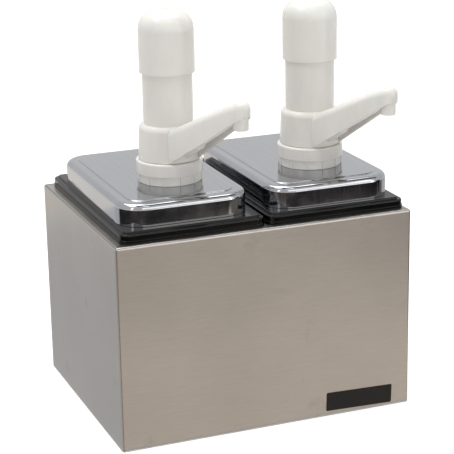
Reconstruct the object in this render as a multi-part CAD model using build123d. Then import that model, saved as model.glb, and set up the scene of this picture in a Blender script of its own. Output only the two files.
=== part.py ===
from build123d import *
from math import atan, cos, degrees, pi, radians, sin, sqrt, tan
import os

# Condiment pump station: two food jars in a folded steel box, each with a drawn
# steel lid that carries a hand pump. Millimetres, +Z up, front towards -Y.
# The origin is the centre of the box's underside.

# Lids, which the jars and the box are sized from
lid_width = 101.0
lid_length = 160.0
lid_height = 17.5
lid_corner = 21.0
lid_edge = 4.2
lid_sheet = 1.0
panel_inset = 9.0
panel_rise = 0.8
pump_side = 5.8
pump_forward = 22.75
lid_shifts = ((-1.0, -0.75), (0.5, -2.25))

# Jars
lid_play = 3.0
ledge_side = 5.75
ledge_end = 10.0
rim_corner = 7.0
rim_height = 7.0
rim_foot = 2.6
rim_foot_step = 0.5
rim_edge = 1.2
ledge_inset = 3.0
ledge_rise = 1.5
ledge_edge = 0.9
rim_wall = 2.4
jar_corner = 16.0
jar_wall = 2.5
jar_floor = 3.0
jar_draft = 2.0
neck_rise = 6.5
jar_gap = 1.2
jars_shift_x = 1.9
jars_shift_y = 0.5

# Steel box
box_height = 157.4
side_margin = 4.4
end_margin = 4.0
sheet = 1.2
bend_radius = 2.0
opening_play = 2.65
opening_corner = 6.0
mitre_gap = 0.5
base_lip = 14.0
floor_gap = 16.2

# Clearances
turn_gap = 0.2
slide_gap = 0.35
fit_gap = 0.3
seal_gap = 0.05
ball_gap = 0.02
head_play = 0.4

# Pump parts fixed to the lid; pump heights are counted from the lid's raised panel
plunger_radius = 11.5
flow_gap = 3.0
cylinder_wall = 2.5
neck_wall = 4.5
neck_height = 12.5
shoulder_radius = 22.5
shoulder_height = 3.0
gasket_height = 1.6
cylinder_drop = 66.0
nut_radius = 24.0
nut_height = 7.0
nut_ribs = 12
nut_rib_width = 1.2
nut_rib_proud = 0.5
nut_rib_height = 6.0
collar_radius = 25.25
collar_height = 10.0
collar_floor = 1.5
collar_edge = 1.6
o_ring_radius = 0.7

# Foot valve and dip tube
foot_socket = 8.0
foot_wall = 2.0
foot_floor = 9.0
inlet_ball_radius = 5.5
inlet_bore = 3.6
ball_lift = 4.0
cage_wall = 1.5
cage_slots = 4
cage_slot_width = 4.0
nipple_length = 10.0
nipple_wall = 1.6
tube_radius = 6.5
tube_wall = 1.5
tube_grip = 8.0
tube_floor_gap = 6.0
tube_cut_angle = 35.0

# Pump head that turns in the collar
body_radius = 23.3
body_top_radius = 22.3
body_height = 26.8
body_round = 4.2
spigot_wall = 1.8
bead = 0.5
bead_height = 1.5
chamber_height = 9.8
gland_floor = 3.0
gland_height = 3.0
gland_wall = 3.5
washer_height = 1.5
tower_radius = 18.75
tower_wall = 2.0
tower_lead = 1.5

# Spout, along its own direction from the pump's axis
spout_turn = 17.0
spout_reach = 86.2
spout_root = 15.9
spout_tip = 6.9
spout_wall = 1.3
spout_lower_start = 18.2
spout_lower_steepening = 0.02
spout_top_start = 19.5
spout_top_flattening = 0.14
spout_level_length = 16.2
spout_cover = 10.1
spout_edge = 3.2
duct_slope = 0.6
duct_rise = 0.98
duct_radius = 4.6
duct_bore = 3.2
boss_wall = 1.5
outlet_ball_radius = 3.9
outlet_bore = 2.4
outlet_seat_length = 3.0
outlet_seat_mouth = 1.4
outlet_start = 22.0
duct_plug = 4.4
duct_notch = 1.6
nozzle_radius = 5.5
nozzle_bore = 3.4
nozzle_drop = 12.5
nozzle_edge = 0.6
socket_floor = 1.0
socket_length = 4.0

# Knob and plunger
stroke = 35.0
knob_stop_gap = 3.0
knob_length = 46.5
knob_wall = 1.65
knob_top_wall = 4.0
knob_crown = 1.2
knob_dome = 12.0
knob_inner_round = 4.8
knob_lip = 0.8
knob_boss_wall = 3.0
knob_boss_length = 12.0
plunger_wall = 2.0
plunger_dip = 4.5
plunger_floor = 3.0
plunger_length = 68.0
plunger_edge = 1.0
stop_proud = 1.8
stop_height = 2.5
rod_radius = 4.5
rod_disc = 8.0

# Return spring
wire_radius = 0.9
spring_clearance = 2.45
open_turn_count = 7
end_pitch = 2.4
gap_point_count = 36

# Sizes that follow from those above
jar_width = lid_width - 2 * (lid_sheet + lid_play)
jar_length = lid_length - 2 * (lid_sheet + lid_play)
rim_width = lid_width + 2 * ledge_side
rim_length = lid_length + 2 * ledge_end
jar_pitch = rim_width + jar_gap
box_width = jar_pitch + rim_width + 2 * side_margin
box_depth = rim_length + 2 * end_margin
opening_width = jar_pitch + jar_width + 2 * opening_play
opening_depth = jar_length + 2 * opening_play
jar_depth = box_height - sheet - floor_gap
ledge_height = rim_height + ledge_rise
lid_top = box_height + ledge_height + lid_height
diagonal = sqrt(2)

bore_radius = plunger_radius + flow_gap
cylinder_radius = bore_radius + cylinder_wall
neck_radius = bore_radius + neck_wall
gasket_bottom = -lid_sheet - gasket_height
collar_top = nut_height + collar_height
body_bottom = collar_top + turn_gap
body_top = body_bottom + body_height
head_bore = neck_radius + head_play
spigot_radius = head_bore + spigot_wall
spigot_bottom = nut_height + collar_floor + fit_gap
chamber_floor = neck_height + fit_gap
gland_bottom = body_bottom + chamber_height
gland_top = gland_bottom + gland_floor
washer_bottom = gland_top + gland_height
spring_bottom = washer_bottom + washer_height
knob_bottom = body_top + stroke + knob_stop_gap
knob_top = knob_bottom + knob_length
knob_ceiling = knob_top - knob_crown - knob_top_wall
tower_top = knob_ceiling - stroke - knob_inner_round + tower_lead
plunger_bottom = neck_height - plunger_dip
plunger_top = plunger_bottom + plunger_length

duct_angle = degrees(atan(duct_slope))
duct_cosine = cos(radians(duct_angle))
spout_direction = -90 + spout_turn
elbow_height = chamber_floor + duct_rise + duct_slope * spout_reach
nozzle_bottom = elbow_height - nozzle_drop
spout_lower_slope = duct_slope + spout_lower_steepening
spout_top_slope = duct_slope - spout_top_flattening
spout_straight = spout_reach - spout_level_length
spout_crest = elbow_height + spout_cover
chamber_radius = duct_radius
outlet_end = (spout_reach - outlet_start) / duct_cosine
seat_end = outlet_end - outlet_seat_length
outlet_rest = seat_end + outlet_seat_mouth + outlet_bore - (outlet_ball_radius + ball_gap) * diagonal
duct_start = outlet_rest - outlet_ball_radius - ball_lift - fit_gap
boss_end = duct_start - duct_plug


def tube(outer, inner, bottom, top):
    """Round wall between two heights on the pump's axis; inner 0 gives a solid bar."""
    body = Pos(0, 0, bottom) * extrude(Circle(outer), top - bottom)
    if inner:
        body -= Pos(0, 0, bottom) * extrude(Circle(inner), top - bottom)
    return body


def block(width, length, corner, bottom, top, draft=0):
    """Rounded rectangle pulled up between two heights."""
    return Pos(0, 0, bottom) * extrude(RectangleRounded(width, length, corner), top - bottom, taper=draft)


def turned(points):
    """Solid of revolution about Z from radius and height pairs."""
    return revolve(Plane.XZ * make_face(Polyline(points, close=True)), Axis.Z)


def o_ring(centre_radius, height):
    return Pos(0, 0, height) * Torus(centre_radius, o_ring_radius)


def round_top(body, radius):
    """Fillet the outline of the highest face."""
    return fillet(body.faces().sort_by(Axis.Z)[-1].outer_wire().edges(), radius)


# Housing


def housing_wrap():
    outer = Pos(0, 0, box_height / 2) * Box(box_width, box_depth, box_height)
    outer = fillet(outer.edges().filter_by(Axis.Z), bend_radius)
    outer = round_top(outer, bend_radius)
    inner = Pos(0, 0, (box_height - sheet) / 2) * Box(
        box_width - 2 * sheet, box_depth - 2 * sheet, box_height - sheet
    )
    inner = fillet(inner.edges().filter_by(Axis.Z), bend_radius - sheet)
    inner = round_top(inner, bend_radius - sheet)
    opening = block(opening_width, opening_depth, opening_corner, box_height - 2 * sheet, box_height + sheet)
    wrap = outer - inner - opening
    for side in (-1, 1):
        for end in (-1, 1):
            wrap -= mitre_slot(side, end)
    return wrap


def mitre_slot(side, end):
    """Open joint between two folded flanges, along the bisector of the corner."""
    margin = 0.5 * (box_depth - opening_depth)
    length = margin * diagonal
    x = side * (box_width - margin) / 2
    y = end * (box_depth - margin) / 2
    slot = Box(length - 2 * bend_radius, mitre_gap, 4 * sheet)
    return Pos(x, y, box_height) * Rot(0, 0, side * end * 45) * slot


def housing_base():
    width = box_width - 2 * sheet
    depth = box_depth - 2 * sheet
    corner = bend_radius
    outer = block(width, depth, corner, 0, base_lip)
    inner = block(width - 2 * sheet, depth - 2 * sheet, corner - sheet, sheet, base_lip)
    return outer - inner


# Jar, drawn about its own centre with the rim's foot at height 0


def jar():
    outer = Pos(0, 0, -jar_depth) * extrude(
        RectangleRounded(
            jar_width - 2 * jar_depth * tan(radians(jar_draft)),
            jar_length - 2 * jar_depth * tan(radians(jar_draft)),
            jar_corner - jar_depth * tan(radians(jar_draft)),
        ),
        jar_depth,
        taper=-jar_draft,
    )
    inner_depth = jar_depth - jar_floor
    shrink = inner_depth * tan(radians(jar_draft))
    inner = Pos(0, 0, -inner_depth) * extrude(
        RectangleRounded(
            jar_width - 2 * (jar_wall + shrink),
            jar_length - 2 * (jar_wall + shrink),
            jar_corner - jar_wall - shrink,
        ),
        inner_depth,
        taper=-jar_draft,
    )
    inner += block(
        jar_width - 2 * jar_wall, jar_length - 2 * jar_wall, jar_corner - jar_wall, 0, ledge_height + neck_rise
    )
    neck = block(jar_width, jar_length, jar_corner, 0, ledge_height + neck_rise)
    return outer + neck + jar_rim() - inner


def jar_rim():
    foot = block(rim_width, rim_length, rim_corner, 0, rim_foot)
    wall_width = rim_width - 2 * rim_foot_step
    wall_length = rim_length - 2 * rim_foot_step
    wall = round_top(block(wall_width, wall_length, rim_corner - rim_foot_step, 0, rim_height), rim_edge)
    ledge = block(
        wall_width - 2 * ledge_inset, wall_length - 2 * ledge_inset, rim_corner - ledge_edge, 0, ledge_height
    )
    ledge = round_top(ledge, ledge_edge)
    hollow = block(
        wall_width - 2 * rim_wall, wall_length - 2 * rim_wall, rim_corner - rim_wall, 0, rim_height - rim_wall
    )
    return foot + wall + ledge - hollow


# Lid, drawn about its own centre with the raised panel at height 0


def lid_form(inset):
    """Outer form of the pressing, or its inside when inset by the sheet."""
    form = block(
        lid_width - 2 * inset, lid_length - 2 * inset, lid_corner - inset, -lid_height, -panel_rise - inset
    )
    form = round_top(form, lid_edge - inset)
    panel = block(
        lid_width - 2 * panel_inset,
        lid_length - 2 * panel_inset,
        lid_corner - panel_inset,
        -panel_rise - inset,
        -inset,
        45,
    )
    return form + panel


def lid():
    hole = Pos(pump_side, -pump_forward, 0) * tube(head_bore, 0, -lid_height, lid_height)
    return lid_form(0) - lid_form(lid_sheet) - hole


# Pump parts fixed to the lid, drawn about the pump's axis


def lid_gasket():
    return tube(shoulder_radius, neck_radius + turn_gap, gasket_bottom, -lid_sheet)


def cylinder():
    shoulder_bottom = gasket_bottom - shoulder_height
    body = turned(
        [
            (bore_radius, -cylinder_drop),
            (cylinder_radius, -cylinder_drop),
            (cylinder_radius, shoulder_bottom - shoulder_height),
            (shoulder_radius, shoulder_bottom),
            (shoulder_radius, gasket_bottom),
            (neck_radius, gasket_bottom),
            (neck_radius, neck_height),
            (bore_radius, neck_height),
        ]
    )
    neck_groove = tube(
        neck_radius + o_ring_radius, head_o_ring_centre - o_ring_radius, *groove(head_o_ring_height)
    )
    foot_groove = tube(
        cylinder_radius + o_ring_radius, foot_o_ring_centre - o_ring_radius, *groove(foot_o_ring_height)
    )
    return body - neck_groove - foot_groove


def groove(height):
    """Lower and upper face of the groove that holds an O-ring."""
    return height - o_ring_radius - seal_gap, height + o_ring_radius + seal_gap


head_o_ring_height = neck_height - 2 * o_ring_radius
head_o_ring_centre = head_bore - seal_gap - o_ring_radius
foot_o_ring_height = foot_socket / 2 - cylinder_drop
foot_o_ring_centre = cylinder_radius - o_ring_radius


def lock_nut():
    nut = tube(nut_radius, 0, 0, nut_height)
    rib = Pos(nut_radius, 0, nut_rib_height / 2) * Box(2 * nut_rib_proud, nut_rib_width, nut_rib_height)
    for turn in range(nut_ribs):
        nut += Rot(0, 0, turn * 360 / nut_ribs) * rib
    return nut - tube(neck_radius + turn_gap, 0, 0, nut_height)


def collar():
    ring = round_top(tube(collar_radius, 0, nut_height, collar_top), collar_edge)
    floor_top = nut_height + collar_floor
    snap_bottom = spigot_bottom + bead_height
    socket = tube(spigot_radius + fit_gap, 0, floor_top, collar_top)
    snap = tube(
        spigot_radius + fit_gap + bead, 0, snap_bottom - fit_gap, snap_bottom + bead_height + fit_gap
    )
    hole = tube(neck_radius + turn_gap, 0, nut_height, floor_top)
    return ring - socket - snap - hole


foot_top = foot_socket - cylinder_drop
foot_floor_top = -cylinder_drop
seat_height = foot_floor_top - foot_floor / 2
inlet_rest = seat_height - inlet_bore + (inlet_ball_radius + ball_gap) * diagonal
foot_bottom = foot_floor_top - foot_floor
nipple_bottom = foot_bottom - nipple_length
tube_seat = nipple_bottom + tube_grip


def foot_valve():
    outer_radius = cylinder_radius + foot_wall
    mouth = inlet_bore + foot_floor / 2
    body = turned(
        [
            (inlet_bore, tube_seat),
            (inlet_bore, seat_height),
            (mouth, foot_floor_top),
            (cylinder_radius, foot_floor_top),
            (cylinder_radius, foot_top),
            (outer_radius, foot_top),
            (outer_radius, foot_bottom + foot_wall),
            (outer_radius - foot_wall, foot_bottom),
            (tube_radius + nipple_wall, foot_bottom),
            (tube_radius + nipple_wall, nipple_bottom),
            (tube_radius, nipple_bottom),
            (tube_radius, tube_seat),
        ]
    )
    return body


def ball_cage():
    """Ring that stands on the foot valve's floor, with a slotted roof over the ball."""
    roof = inlet_rest + inlet_ball_radius + ball_lift + ball_gap
    outer = bore_radius - seal_gap
    inner = outer - cage_wall
    cage = tube(outer, inner, foot_floor_top, roof) + tube(outer, 0, roof, roof + cage_wall)
    slot = Pos((inlet_bore + inner) / 2, 0, roof + cage_wall / 2) * Box(
        inner - inlet_bore, cage_slot_width, 2 * cage_wall
    )
    for turn in range(cage_slots):
        cage -= Rot(0, 0, turn * 360 / cage_slots) * slot
    return cage


def dip_tube():
    """Push-fitted tube whose lower end is cut on a slant so that it can't seal on the floor."""
    bottom = box_height - jar_depth + jar_floor + tube_floor_gap - lid_top
    pipe = tube(tube_radius, tube_radius - tube_wall, bottom, tube_seat)
    cutter = Pos(0, 0, bottom + tube_radius * tan(radians(tube_cut_angle))) * Rot(0, tube_cut_angle, 0) * Pos(
        0, 0, -2 * tube_radius
    ) * Box(8 * tube_radius, 4 * tube_radius, 4 * tube_radius)
    return pipe - cutter


# Pump head, drawn with the spout along +X and turned into place at the end


def along_duct(distance, axis_shape):
    """Put a shape drawn on +Z onto the duct's line, at a distance back from the elbow."""
    run = distance * duct_cosine
    return Pos(spout_reach - run, 0, elbow_height - run * duct_slope) * Rot(0, 90 - duct_angle, 0) * axis_shape


def spout_plan(inset):
    with BuildSketch() as plan:
        Circle(spout_root - inset)
        with Locations((spout_reach, 0)):
            Circle(spout_tip - inset)
        make_hull()
    return plan.sketch


def spout_side(inset):
    """Side view of the spout: straight lower edge, and a top that levels out towards the tip."""
    far = spout_reach + spout_tip + spout_wall
    straight_top = spout_top(spout_straight) - inset
    straight = Line((0, spout_top(0) - inset), (spout_straight, straight_top))
    level = TangentArc(straight @ 1, (far, spout_crest - inset), tangent=straight % 1)
    depth = 4 * inset
    under = Polyline(
        level @ 1,
        (far, body_bottom + spout_lower_slope * (far - spout_lower_start) - depth),
        (spout_lower_start, body_bottom - depth),
        (0, body_bottom - depth),
        straight @ 0,
    )
    return Plane.XZ * make_face([straight, level, under])


def spout_top(reach):
    return body_top + spout_top_slope * (reach - spout_top_start)


def spout_form(inset):
    plan = extrude(spout_plan(inset), 2 * body_top)
    form = plan & extrude(spout_side(inset), 2 * spout_root, both=True)
    rims = [
        edge
        for edge in form.edges().filter_by(Axis.Y, reverse=True)
        if edge.center().Z > spout_top(edge.center().X) - inset - spout_edge
    ]
    return fillet(rims, spout_edge - inset)


def pump_head():
    shell = turned(
        [
            (0, body_bottom),
            (body_radius, body_bottom),
            (body_top_radius, body_top),
            (0, body_top),
        ]
    )
    shell = round_top(shell, body_round)
    hollow = spout_form(spout_wall) - tube(body_radius, 0, 0, 2 * body_top)
    boss_length = outlet_end + boss_wall - boss_end
    boss = extrude(Circle(chamber_radius + boss_wall), boss_length)
    head = shell + (spout_form(0) - hollow) + along_duct(outlet_end + boss_wall, boss)
    snap_bottom = spigot_bottom + bead_height
    head += tube(spigot_radius, 0, spigot_bottom, body_bottom)
    head += tube(spigot_radius + bead, 0, snap_bottom, snap_bottom + bead_height)
    head -= tube(head_bore, 0, spigot_bottom, chamber_floor)
    head -= tube(bore_radius + flow_gap, 0, chamber_floor, gland_bottom)
    head -= tube(plunger_radius + fit_gap, 0, gland_bottom, gland_top)
    head -= tube(plunger_radius + gland_wall, 0, gland_top, washer_bottom)
    head -= tube(tower_radius, 0, washer_bottom, 2 * body_top)
    head -= along_duct(outlet_end, extrude(Circle(chamber_radius), boss_length))
    port_length = (outlet_start - plunger_radius) / duct_cosine
    return head - along_duct(outlet_end + port_length, extrude(Circle(outlet_bore), port_length))


def tower():
    """Sleeve whose top edge is cut back, so that the knob's inner corner clears it when pressed."""
    sleeve = tube(tower_radius, 0, spring_bottom, tower_top)
    sleeve = chamfer(sleeve.edges().sort_by(Axis.Z)[-1], tower_lead)
    return sleeve - tube(tower_radius - tower_wall, 0, spring_bottom, tower_top)


def gland_seal():
    return tube(plunger_radius + gland_wall, plunger_radius + seal_gap, gland_top, washer_bottom)


def gland_washer():
    return tube(tower_radius, plunger_radius + fit_gap, washer_bottom, spring_bottom)


def outlet_seat():
    ring = extrude(Circle(chamber_radius) - Circle(outlet_bore), outlet_seat_length)
    mouth = Pos(0, 0, outlet_seat_length - outlet_seat_mouth) * Cone(
        outlet_bore,
        outlet_bore + outlet_seat_mouth,
        outlet_seat_mouth,
        align=(Align.CENTER, Align.CENTER, Align.MIN),
    )
    return along_duct(outlet_end, ring - mouth)


def spout_duct():
    """Straight pipe with a cross slot in its inlet, so that the open ball can't close it."""
    length = duct_start - nozzle_radius - socket_floor
    pipe = extrude(Circle(duct_radius) - Circle(duct_bore), length)
    pipe -= Box(3 * duct_radius, 2 * duct_notch, 2 * duct_notch)
    return along_duct(duct_start, pipe)


def nozzle():
    """Elbow with a socket for the pipe and a round tip that points straight down."""
    tip = tube(nozzle_radius, 0, nozzle_bottom, elbow_height)
    tip = fillet(tip.edges().sort_by(Axis.Z)[0], nozzle_edge)
    elbow = Pos(spout_reach, 0, 0) * (tip + Pos(0, 0, elbow_height) * Sphere(nozzle_radius))
    socket_end = nozzle_radius + socket_floor + socket_length
    elbow += along_duct(socket_end, extrude(Circle(nozzle_radius), socket_end))
    elbow -= along_duct(socket_end, extrude(Circle(duct_radius), socket_length))
    elbow -= along_duct(socket_end, extrude(Circle(duct_bore), socket_end))
    return elbow - Pos(spout_reach, 0, 0) * tube(nozzle_bore, 0, nozzle_bottom, elbow_height)


# Knob, plunger and spring


def knob():
    """Domed cap over the tower, with a boss inside that holds the rod."""
    outer_radius = tower_radius + slide_gap + knob_wall
    side = Line((outer_radius, knob_bottom), (outer_radius, knob_top - knob_crown))
    crown = TangentArc((0, knob_top), side @ 1, tangent=(1, 0))
    profile = make_face([side, crown, Polyline((0, knob_top), (0, knob_bottom), side @ 0)])
    profile = fillet(outer_corner(profile, -1), knob_dome)
    profile = fillet(outer_corner(profile, 0), knob_lip)
    cap = revolve(Plane.XZ * profile, Axis.Z)
    inside = round_top(tube(tower_radius + slide_gap, 0, knob_bottom, knob_ceiling), knob_inner_round)
    boss_bottom = knob_ceiling - knob_boss_length
    boss = tube(rod_radius + knob_boss_wall, rod_radius, boss_bottom, knob_ceiling)
    return cap - inside + boss


def outer_corner(profile, index):
    """Corner of a half profile on its largest radius, counted from the bottom."""
    return profile.vertices().group_by(Axis.X)[-1].sort_by(Axis.Y)[index]


def plunger_rod():
    disc = tube(plunger_radius - plunger_wall, 0, plunger_top - rod_disc, plunger_top)
    return disc + tube(rod_radius, 0, plunger_top, knob_ceiling)


def plunger():
    """Hollow ram with a ring that stops it against the underside of the gland's floor."""
    body = tube(plunger_radius, 0, plunger_bottom, plunger_top)
    body = chamfer(body.edges().sort_by(Axis.Z)[0], plunger_edge)
    body += tube(plunger_radius + stop_proud, 0, gland_bottom - stop_height, gland_bottom)
    return body - tube(plunger_radius - plunger_wall, 0, plunger_bottom + plunger_floor, plunger_top)


def biarc(start, start_way, end, end_way):
    """Two arcs that leave start and reach end along the given unit directions."""
    chord = end - start
    both = start_way + end_way
    bend = 2 * (1 - start_way.dot(end_way))
    reach = (-chord.dot(both) + sqrt(chord.dot(both) ** 2 + bend * chord.dot(chord))) / bend
    middle = (start + end + (start_way - end_way) * reach) / 2
    first = TangentArc(start, middle, tangent=start_way)
    return [first, TangentArc(middle, end, tangent=first % 1)]


def return_spring():
    """Compression spring with one closely wound turn at each end."""
    radius = spring_centre
    low = spring_bottom + wire_radius
    high = knob_ceiling - wire_radius
    open_pitch = (high - low - 2 * end_pitch) / open_turn_count
    quarters = 4 * (open_turn_count + 2)
    pitches = [end_pitch] * 4 + [open_pitch] * (quarters - 8) + [end_pitch] * 4
    points = []
    ways = []
    height = low
    for quarter in range(quarters + 1):
        before = pitches[max(quarter - 1, 0)]
        after = pitches[min(quarter, quarters - 1)]
        angle = radians(90 * quarter)
        points.append(Vector(radius * cos(angle), radius * sin(angle), height))
        climb = (before + after) / 2 / (2 * pi * radius)
        ways.append(Vector(-sin(angle), cos(angle), climb).normalized())
        height += after / 4
    arcs = []
    for quarter in range(quarters):
        arcs += biarc(points[quarter], ways[quarter], points[quarter + 1], ways[quarter + 1])
    path = Wire(arcs)
    print("spring: least gap to itself", round(least_gap(path), 2), "mm over", round(path.length), "mm")
    return sweep(Plane(origin=points[0], z_dir=ways[0]) * Circle(wire_radius), path=path)


def least_gap(path):
    """Least gap between neighbouring turns, measured on points along the wire."""
    around = 2 * pi * spring_centre
    count = round(gap_point_count * path.length / around)
    points = [path @ (index / count) for index in range(count + 1)]
    half_turn = gap_point_count // 2
    return min(
        (other - point).length - 2 * wire_radius
        for index, point in enumerate(points)
        for other in points[index + half_turn :]
    )


spring_centre = tower_radius - tower_wall - spring_clearance - wire_radius

# Everything in its place

housing_parts = {"housing_wrap": housing_wrap(), "housing_base": housing_base()}

lid_parts = {
    "lid_gasket": lid_gasket(),
    "cylinder": cylinder(),
    "lock_nut": lock_nut(),
    "collar": collar(),
    "head_o_ring": o_ring(head_o_ring_centre, head_o_ring_height),
    "foot_valve": foot_valve(),
    "foot_o_ring": o_ring(foot_o_ring_centre, foot_o_ring_height),
    "ball_cage": ball_cage(),
    "dip_tube": dip_tube(),
    "inlet_ball": Pos(0, 0, inlet_rest) * Sphere(inlet_ball_radius),
}

head_parts = {
    "pump_head": pump_head(),
    "tower": tower(),
    "gland_seal": gland_seal(),
    "gland_washer": gland_washer(),
    "outlet_seat": outlet_seat(),
    "outlet_ball": along_duct(outlet_rest, Sphere(outlet_ball_radius)),
    "spout_duct": spout_duct(),
    "nozzle": nozzle(),
    "knob": knob(),
    "plunger_rod": plunger_rod(),
    "plunger": plunger(),
    "return_spring": return_spring(),
}

os.makedirs("parts", exist_ok=True)
for name, part in housing_parts.items():
    export_step(part, f"parts/{name}.step")

for number, (side, lid_shift) in enumerate(zip((-1, 1), lid_shifts), start=1):
    jar_x = side * jar_pitch / 2 + jars_shift_x
    lid_x = jar_x + lid_shift[0]
    lid_y = jars_shift_y + lid_shift[1]
    pump_x = lid_x + pump_side
    pump_y = lid_y - pump_forward
    export_step(Pos(jar_x, jars_shift_y, box_height) * jar(), f"parts/jar_{number}.step")
    export_step(Pos(lid_x, lid_y, lid_top) * lid(), f"parts/lid_{number}.step")
    print(f"pump {number} axis at", round(pump_x, 3), round(pump_y, 3))
    for name, part in lid_parts.items():
        export_step(Pos(pump_x, pump_y, lid_top) * part, f"parts/{name}_{number}.step")
    for name, part in head_parts.items():
        placed = Pos(pump_x, pump_y, lid_top) * Rot(0, 0, spout_direction) * part
        export_step(placed, f"parts/{name}_{number}.step")

print("lid panel height", lid_top, "box", box_width, box_depth)
print("elbow reach", spout_reach, "direction", spout_direction, "duct angle", round(duct_angle, 3))
print("spring seat height", round(lid_top + spring_bottom, 3))
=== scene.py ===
from math import acos, atan, atan2, cos, pi, radians, sin, tan

import bmesh
import bpy
from mathutils import Matrix, Vector


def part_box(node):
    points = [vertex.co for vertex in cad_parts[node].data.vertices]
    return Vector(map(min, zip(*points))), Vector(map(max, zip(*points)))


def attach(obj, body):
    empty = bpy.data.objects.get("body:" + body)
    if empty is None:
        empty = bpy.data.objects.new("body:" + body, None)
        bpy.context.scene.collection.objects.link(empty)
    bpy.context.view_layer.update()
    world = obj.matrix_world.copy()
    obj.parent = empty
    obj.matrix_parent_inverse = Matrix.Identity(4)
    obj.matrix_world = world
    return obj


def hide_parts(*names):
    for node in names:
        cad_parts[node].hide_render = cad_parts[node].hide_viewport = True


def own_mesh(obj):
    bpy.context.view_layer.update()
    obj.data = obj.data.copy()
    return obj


# Condiment pump station, dressed: drawn lids, moulded pumps, glossy jars and a
# folded box of brushed steel. The frame is in metres. Sizes of pieces are in
# millimetres, and the studio's are in metres.

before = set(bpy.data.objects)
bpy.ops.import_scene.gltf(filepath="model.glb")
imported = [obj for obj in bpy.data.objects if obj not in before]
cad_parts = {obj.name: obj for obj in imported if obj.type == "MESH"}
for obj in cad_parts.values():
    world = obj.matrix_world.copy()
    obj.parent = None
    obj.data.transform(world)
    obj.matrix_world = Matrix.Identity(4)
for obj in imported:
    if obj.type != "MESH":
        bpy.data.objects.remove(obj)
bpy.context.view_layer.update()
scene = bpy.context.scene
MM = 0.001

# Camera, solved from the edges of the box

CAMERA_PLACE = Vector((-0.443287, -1.141407, 0.510193))
CAMERA_FORWARD = Vector((0.34891, 0.88948, -0.29510))
CAMERA_RIGHT = Vector((0.92890927, -0.36992832, -0.01675101))
CAMERA_LENS = 129.04
CAMERA_REACH = 60


def add_camera():
    right = CAMERA_RIGHT.normalized()
    up = right.cross(CAMERA_FORWARD).normalized()
    back = right.cross(up)
    data = bpy.data.cameras.new("camera")
    data.lens = CAMERA_LENS
    data.clip_end = CAMERA_REACH
    camera = bpy.data.objects.new("camera", data)
    turned = Matrix((right, up, back)).transposed().to_4x4()
    camera.matrix_world = Matrix.Translation(CAMERA_PLACE) @ turned
    scene.collection.objects.link(camera)
    scene.camera = camera


# Shader maths


class Socket:
    """A shader value that takes Python's operators; each adds the Math node it needs."""

    def __init__(self, nodes, output):
        self.nodes = nodes
        self.output = output

    def __add__(self, other):
        return self.nodes.maths("ADD", self, other)

    def __sub__(self, other):
        return self.nodes.maths("SUBTRACT", self, other)

    def __rsub__(self, other):
        return self.nodes.maths("SUBTRACT", other, self)

    def __mul__(self, other):
        return self.nodes.maths("MULTIPLY", self, other)

    __radd__ = __add__
    __rmul__ = __mul__


class NodeWork:
    """A node tree that is added to, one whole node at a time."""

    def __init__(self, tree):
        self.tree = tree

    def node(self, kind, settings=None, inputs=None, output=0):
        """Add a node with its settings and then the values or links of its inputs."""
        made = self.tree.nodes.new(kind)
        for key, value in (settings or {}).items():
            if key == "stops":
                set_stops(made.color_ramp, value)
            else:
                setattr(made, key, value)
        for key, value in (inputs or {}).items():
            self.feed(made.inputs[key], value)
        return Socket(self, made.outputs[output])

    def feed(self, socket, value):
        if isinstance(value, Socket):
            self.tree.links.new(value.output, socket)
        else:
            socket.default_value = value

    def maths(self, operation, *values):
        return self.node("ShaderNodeMath", {"operation": operation}, dict(enumerate(values)))

    def seen_by(self, *kinds):
        """1 for rays of these kinds, such as Camera or Glossy, and 0 for the rest."""
        rays = [self.node("ShaderNodeLightPath", output=f"Is {kind} Ray") for kind in kinds]
        seen = rays[0]
        for ray in rays[1:]:
            seen = self.maths("MAXIMUM", seen, ray)
        return seen


class Finish(NodeWork):
    """A material's node tree around one Principled shader."""

    def __init__(self, name, **fixed):
        self.material = bpy.data.materials.new(name)
        self.material.use_nodes = True
        super().__init__(self.material.node_tree)
        self.shader = self.tree.nodes["Principled BSDF"]
        self.set(**fixed)

    def set(self, **values):
        """Feed the shader's inputs, named in small letters with underscores."""
        for name, value in values.items():
            socket = name.replace("_", " ").title().replace("Ior", "IOR")
            self.feed(self.shader.inputs[socket], value)

    def place(self, stretch=(1, 1, 1)):
        """Object coordinates, with each axis stretched by its own factor."""
        settings = {"vector_type": "POINT"}
        where = self.node("ShaderNodeTexCoord", output="Object")
        return self.node("ShaderNodeMapping", settings, {"Vector": where, "Scale": stretch})

    def axes(self):
        """The three Object coordinates, each as its own value."""
        apart = self.node("ShaderNodeSeparateXYZ", {}, {0: self.place()}).output.node
        return [Socket(self, output) for output in apart.outputs]

    def near(self, first, second, reach):
        """1 where two values are within reach of each other, 0 elsewhere."""
        return self.maths("COMPARE", first, second, reach)

    def noise(self, scale=1.0, detail=2.0, roughness=0.5, stretch=(1, 1, 1)):
        place = self.place(stretch)
        values = {"Vector": place, "Scale": scale, "Detail": detail, "Roughness": roughness}
        return self.node("ShaderNodeTexNoise", {}, values)

    def tones(self, value, first, second, start=0.3, end=0.7):
        """Colour that goes from one tone to another while a value goes from start to end."""
        stops = ((start, colour(*first)), (end, colour(*second)))
        return self.node("ShaderNodeValToRGB", {"stops": stops}, {"Fac": value})

    def blend(self, mask, first, second, blend_type="MIX"):
        settings = {"data_type": "RGBA", "blend_type": blend_type}
        return self.node("ShaderNodeMix", settings, {0: mask, 6: first, 7: second}, output=2)

    def bump(self, height, distance, strength, under=None):
        values = {"Height": height, "Distance": distance * MM, "Strength": strength}
        if under:
            values["Normal"] = under
        return self.node("ShaderNodeBump", {}, values)


def set_stops(ramp, stops):
    for element, (position, shade) in zip(ramp.elements, stops):
        element.position = position
        element.color = shade


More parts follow.
